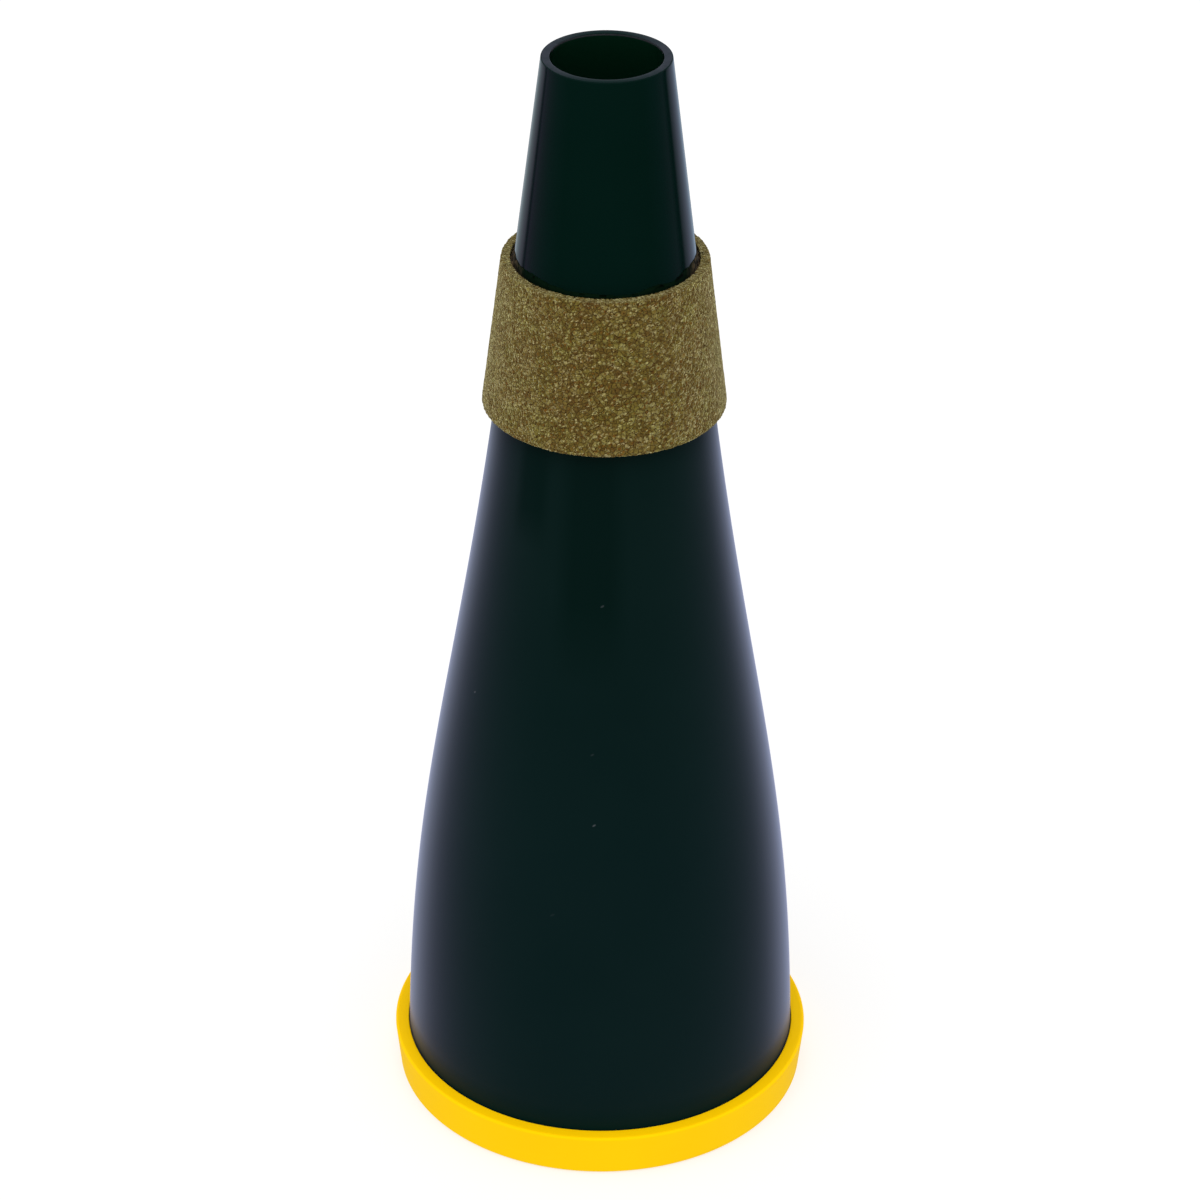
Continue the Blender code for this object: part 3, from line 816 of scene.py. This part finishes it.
def ring():
    """Soft yellow ring with its channel for the plate and the shell's foot."""
    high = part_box("rim_bumper")[1].z
    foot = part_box("body_shell")[0].z
    channel = float(shell_outside(foot)) + BOND_GAP
    lip = channel - BUMPER_LIP
    top_radius = FOOT_RADIUS + BUMPER_PROUD
    corners = [
        (top_radius, high, BUMPER_EDGE),
        (top_radius - BUMPER_DRAFT, 0.0, BUMPER_EDGE),
        (lip, 0.0, BUMPER_EDGE),
        (lip, BUMPER_FLOOR, 0.2 * MM),
        (channel, BUMPER_FLOOR, 0.1 * MM),
        (channel, foot, 0.0),
        shell_corner(BOND_GAP, high, 0.15 * MM),
    ]
    piece = turned("rim_bumper_visual", outline(corners, 0.7 * MM, 8), FINE)
    put(piece, "rim_bumper", yellow_rubber())


def spigot_radius():
    """Outer radius of the plate's spigot."""
    spigot_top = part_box("base_plate")[1].z
    return float(shell_outside(spigot_top)) - SHELL_WALL - SEAT_GAP


def groove_heights():
    """Top and bottom of the groove round the spigot, midway up it."""
    low, high = (corner.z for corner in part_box("base_plate"))
    middle = (low + PLATE_THICKNESS + high) / 2
    return middle + GROOVE_HEIGHT / 2, middle - GROOVE_HEIGHT / 2


def plate():
    """Base plate with its grooved spigot and a hole for the grommet, its edges softened."""
    low, high = (corner.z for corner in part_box("base_plate"))
    floor = low + PLATE_THICKNESS
    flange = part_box("base_plate")[1].x
    spigot = spigot_radius()
    groove_top, groove_bottom = groove_heights()
    hole = GROMMET_RADIUS + BOND_GAP
    soft = 0.25 * MM
    corners = [
        (spigot, high, soft),
        (spigot, groove_top, 0.1 * MM),
        (spigot - GROOVE_DEPTH, groove_top, 0.1 * MM),
        (spigot - GROOVE_DEPTH, groove_bottom, 0.1 * MM),
        (spigot, groove_bottom, 0.1 * MM),
        (spigot, floor, 0.1 * MM),
        (flange, floor, soft),
        (flange, low, soft),
        (hole, low, soft),
        (hole, floor, soft),
        (spigot - SPIGOT_WALL, floor, 2 * soft),
        (spigot - SPIGOT_WALL, high, soft),
    ]
    piece = turned("base_plate_visual", outline(corners, 1.5 * MM, 4), PLAIN)
    put(piece, "base_plate", sparked_plastic("plate_plastic", PLATE_BLACK, 0.5))


def bond():
    """Bead of glue in the spigot's groove, pressed against the shell in uneven lumps."""
    groove_top, groove_bottom = groove_heights()
    top = groove_top - BOND_GAP
    bottom = groove_bottom + BOND_GAP
    floor = spigot_radius() - GROOVE_DEPTH + BOND_GAP
    wall = SHELL_WALL + BOND_GAP
    corners = [
        shell_corner(-wall, top, 0.3 * MM),
        shell_corner(-wall, bottom, 0.3 * MM),
        (floor, bottom, 0.2 * MM),
        (floor, top, 0.2 * MM),
    ]
    points = outline(corners, 0.3 * MM, 4)
    lumps = soft_noise(np.random.default_rng(9), arc_length(points), FINE, 1.6 * MM, BEAD_GIRTH)
    piece = turned("base_bond_ring_visual", points, FINE, (lumps - 1.0) * BEAD_LUMP)
    put(piece, "base_bond_ring", set_epoxy())


def tube():
    """Vent tube with rounded ends."""
    low, high = (corner.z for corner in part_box("vent_tube"))
    corners = [
        (TUBE_RADIUS, high, 0.3 * MM),
        (TUBE_RADIUS, low, 0.3 * MM),
        (TUBE_BORE_RADIUS, low, 0.3 * MM),
        (TUBE_BORE_RADIUS, high, 0.3 * MM),
    ]
    piece = turned("vent_tube_visual", outline(corners, 6.0 * MM, 5), SMALL)
    put(piece, "vent_tube", drawn_tube())


def grommet():
    """Rubber bush with a soft-edged flange on each side of the plate."""
    low, high = (corner.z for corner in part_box("vent_grommet"))
    upper = high - GROMMET_FLANGE
    lower = low + GROMMET_FLANGE
    bore = TUBE_RADIUS + BOND_GAP
    corners = [
        (GROMMET_FLANGE_RADIUS, high, 0.45 * MM),
        (GROMMET_FLANGE_RADIUS, upper, 0.15 * MM),
        (GROMMET_RADIUS, upper, 0.1 * MM),
        (GROMMET_RADIUS, lower, 0.1 * MM),
        (GROMMET_FLANGE_RADIUS, lower, 0.15 * MM),
        (GROMMET_FLANGE_RADIUS, low, 0.45 * MM),
        (bore, low, 0.2 * MM),
        (bore, high, 0.2 * MM),
    ]
    piece = turned("vent_grommet_visual", outline(corners, 0.8 * MM, 6), PLAIN)
    put(piece, "vent_grommet", grey_rubber())


def butt_seam(around):
    """Share from 0 to 1, highest at the back of the mute, of the groove where the felt strip meets."""
    angle = np.linspace(0.0, 2 * math.pi, around, endpoint=False)
    return np.exp(-(((angle - math.pi / 2) / FELT_SEAM_WIDTH) ** 2))[None, :]


def felt_sleeve():
    """Felt lining: a rolled strip with a butt seam at the back, soft edges and a slightly uneven face."""
    low, high = (corner.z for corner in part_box("damping_sleeve"))
    wall = SHELL_WALL + SEAT_GAP
    soft = 0.5 * MM
    outer = shell_line(-wall, high, low, 14, soft, soft)
    inner = shell_line(-wall - SLEEVE_THICKNESS, low, high, 14, soft, soft)
    points = outline(outer + inner, 1.0 * MM, 5)
    along = arc_length(points)
    rng = np.random.default_rng(21)
    fine = soft_noise(rng, along, FINE, 1.3 * MM, FELT_GIRTH)
    broad = soft_noise(rng, along, FINE, 7.0 * MM, FELT_GIRTH)
    fluff = 0.4 * fine + 0.6 * broad
    relief = (fluff - 1.0) * FELT_FLUFF - butt_seam(FINE) * FELT_SEAM_DEPTH
    piece = turned("damping_sleeve_visual", points, FINE, relief)
    put(piece, "damping_sleeve", pressed_felt())


def foam_ring():
    """Foam pad on the plate, crowned a little, with soft edges and open pores."""
    box_low, box_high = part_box("base_pad")
    outside = box_high.x
    inside = GROMMET_FLANGE_RADIUS + SEAT_GAP
    shoulder = box_high.z - FOAM_CROWN
    corners = [
        (outside, shoulder, 1.2 * MM),
        (outside, box_low.z, 0.5 * MM),
        (inside, box_low.z, 0.5 * MM),
        (inside, shoulder, 1.2 * MM),
        ((inside + outside) / 2, box_high.z, 6.0 * MM),
    ]
    points = outline(corners, 0.5 * MM, 8)
    pores = grains(np.random.default_rng(33), arc_length(points), FINE, FOAM_PORE, FOAM_GIRTH)
    piece = turned("base_pad_visual", points, FINE, (pores - 1.0) * FOAM_PORE_DEPTH)
    put(piece, "base_pad", open_foam())


def white_floor():
    """Wide white floor that keeps a faint shadow near the mute."""
    corners = [(x * FLOOR_HALF, y * FLOOR_HALF, 0.0) for x, y in ((-1, -1), (1, -1), (1, 1), (-1, 1))]
    mesh = bpy.data.meshes.new("floor")
    mesh.from_pydata(corners, [], [(0, 1, 2, 3)])
    floor = bpy.data.objects.new("floor", mesh)
    bpy.context.scene.collection.objects.link(floor)
    floor.location.z = -FLOOR_DROP
    floor.visible_glossy = False
    floor.data.materials.append(pale_floor())


def soft_lamp():
    """One broad soft lamp above the mute, which reflections don't show."""
    lamp = bpy.data.lights.new("soft_key", "AREA")
    lamp.shape = "DISK"
    lamp.size = LAMP_SIZE
    lamp.energy = LAMP_POWER
    key = bpy.data.objects.new("soft_key", lamp)
    key.location = LAMP_PLACE
    key.rotation_euler = (LAMP_TILT, 0.0, LAMP_TURN)
    key.visible_glossy = False
    bpy.context.scene.collection.objects.link(key)


def pale_floor():
    """Floor that looks white to the camera, with part of the real shadow close to the mute, and gives
    the mute an even white light from below. It is clear from below, so that the underside can be
    looked at."""
    mix = Recipe("pale_floor")
    mix.finish(Base_Color=(0.86, 0.86, 0.86, 1.0), Roughness=0.9, Specular_IOR_Level=0.0)
    mix.material.cycles.emission_sampling = "NONE"
    path = mix.node("LightPath")
    distance = mix.node("VectorMath", {"operation": "LENGTH"}, Vector=mix.place).outputs["Value"]
    white = mix.spread(distance, 0.6, 1.0, SHADE_NEAR, SHADE_END)
    bounce = path.outputs["Is Diffuse Ray"]
    glow = mix.node("Emission", Strength=mix.spread(bounce, 1.05, 0.96))
    both = mix.node("MixShader")
    seen = mix.math("MULTIPLY", path.outputs["Is Camera Ray"], white)
    mix.feed(both.inputs[0], mix.math("MAXIMUM", seen, bounce))
    mix.feed(both.inputs[1], mix.shader.outputs["BSDF"])
    mix.feed(both.inputs[2], glow.outputs["Emission"])
    clear = mix.node("MixShader")
    mix.feed(clear.inputs[0], mix.node("NewGeometry").outputs["Backfacing"])
    mix.feed(clear.inputs[1], both.outputs["Shader"])
    mix.feed(clear.inputs[2], mix.node("BsdfTransparent").outputs["BSDF"])
    mix.feed(mix.tree.nodes["Material Output"].inputs["Surface"], clear.outputs["Shader"])
    return mix.material


def sky():
    """World that is plain white to the camera and for diffuse light. Reflections see a studio that is
    dark in front, with a pale bluish wall well round to each side and a ceiling that dims upwards."""
    world = bpy.data.worlds.new("studio")
    bpy.context.scene.world = world
    world.use_nodes = True
    world.cycles.sampling_method = "NONE"
    mix = Wiring(world.node_tree)
    mix.tree.nodes.clear()
    way = mix.node("TexCoord").outputs["Generated"]
    level = mix.node("VectorMath", {"operation": "MULTIPLY"})
    mix.feed(level.inputs[0], way)
    mix.feed(level.inputs[1], (1.0, 1.0, 0.0))
    round_to = mix.node("VectorMath", {"operation": "NORMALIZE"}, Vector=level.outputs["Vector"])
    flat = mix.node("SeparateXYZ", Vector=round_to.outputs["Vector"])
    behind = mix.spread(flat.outputs["Y"], 0.0, 1.0, -1.0, 1.0)
    to_right = mix.spread(flat.outputs["X"], 0.0, 1.0, -0.1, 0.1)
    walls = mix.blend(to_right, mix.ramp(behind, STUDIO_LEFT), mix.ramp(behind, STUDIO_RIGHT))
    height = mix.node("SeparateXYZ", Vector=way).outputs["Z"]
    overhead = mix.spread(height, 0.0, 1.0, 0.02, 0.15)
    seen = mix.blend(overhead, walls, mix.ramp(height, STUDIO_CEILING))
    path = mix.node("LightPath")
    plain = mix.math("MAXIMUM", path.outputs["Is Camera Ray"], path.outputs["Is Diffuse Ray"])
    colour = mix.blend(plain, seen, (1.0, 1.0, 1.0, 1.0))
    back = mix.node("Background", Color=colour, Strength=1.0)
    out = mix.node("OutputWorld")
    mix.feed(out.inputs["Surface"], back.outputs["Background"])


def camera():
    """Camera where the photograph was taken from: pitched down, then turned by a small yaw and roll."""
    forward = np.array((0.0, math.cos(CAMERA_PITCH), -math.sin(CAMERA_PITCH)))
    right = np.array((1.0, 0.0, 0.0))
    up = np.cross(right, forward)
    yaw = np.array(
        (
            (math.cos(CAMERA_YAW), -math.sin(CAMERA_YAW), 0.0),
            (math.sin(CAMERA_YAW), math.cos(CAMERA_YAW), 0.0),
            (0.0, 0.0, 1.0),
        )
    )
    forward, right, up = yaw @ forward, yaw @ right, yaw @ up
    rolled_right = math.cos(CAMERA_ROLL) * right + math.sin(CAMERA_ROLL) * up
    rolled_up = -math.sin(CAMERA_ROLL) * right + math.cos(CAMERA_ROLL) * up
    lens = bpy.data.cameras.new("photo_camera")
    lens.lens = CAMERA_LENS
    lens.sensor_width = CAMERA_SENSOR
    lens.clip_start = CAMERA_CLIP
    eye = bpy.data.objects.new("photo_camera", lens)
    matrix = np.eye(4)
    matrix[:3, 0] = rolled_right
    matrix[:3, 1] = rolled_up
    matrix[:3, 2] = -forward
    matrix[:3, 3] = (0.0, -CAMERA_BACK, CAMERA_UP)
    eye.matrix_world = matrix.T.tolist()
    bpy.context.scene.collection.objects.link(eye)
    bpy.context.scene.camera = eye


camera()
sky()
white_floor()
soft_lamp()
body()
cork()
glue()
ring()
plate()
bond()
tube()
grommet()
felt_sleeve()
foam_ring()
baffle_plastic = sparked_plastic("baffle_plastic", BAFFLE_BLACK, 0.5)
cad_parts["tube_baffle"].material_slots[0].material = baffle_plastic

bpy.context.scene.view_settings.view_transform = "Standard"
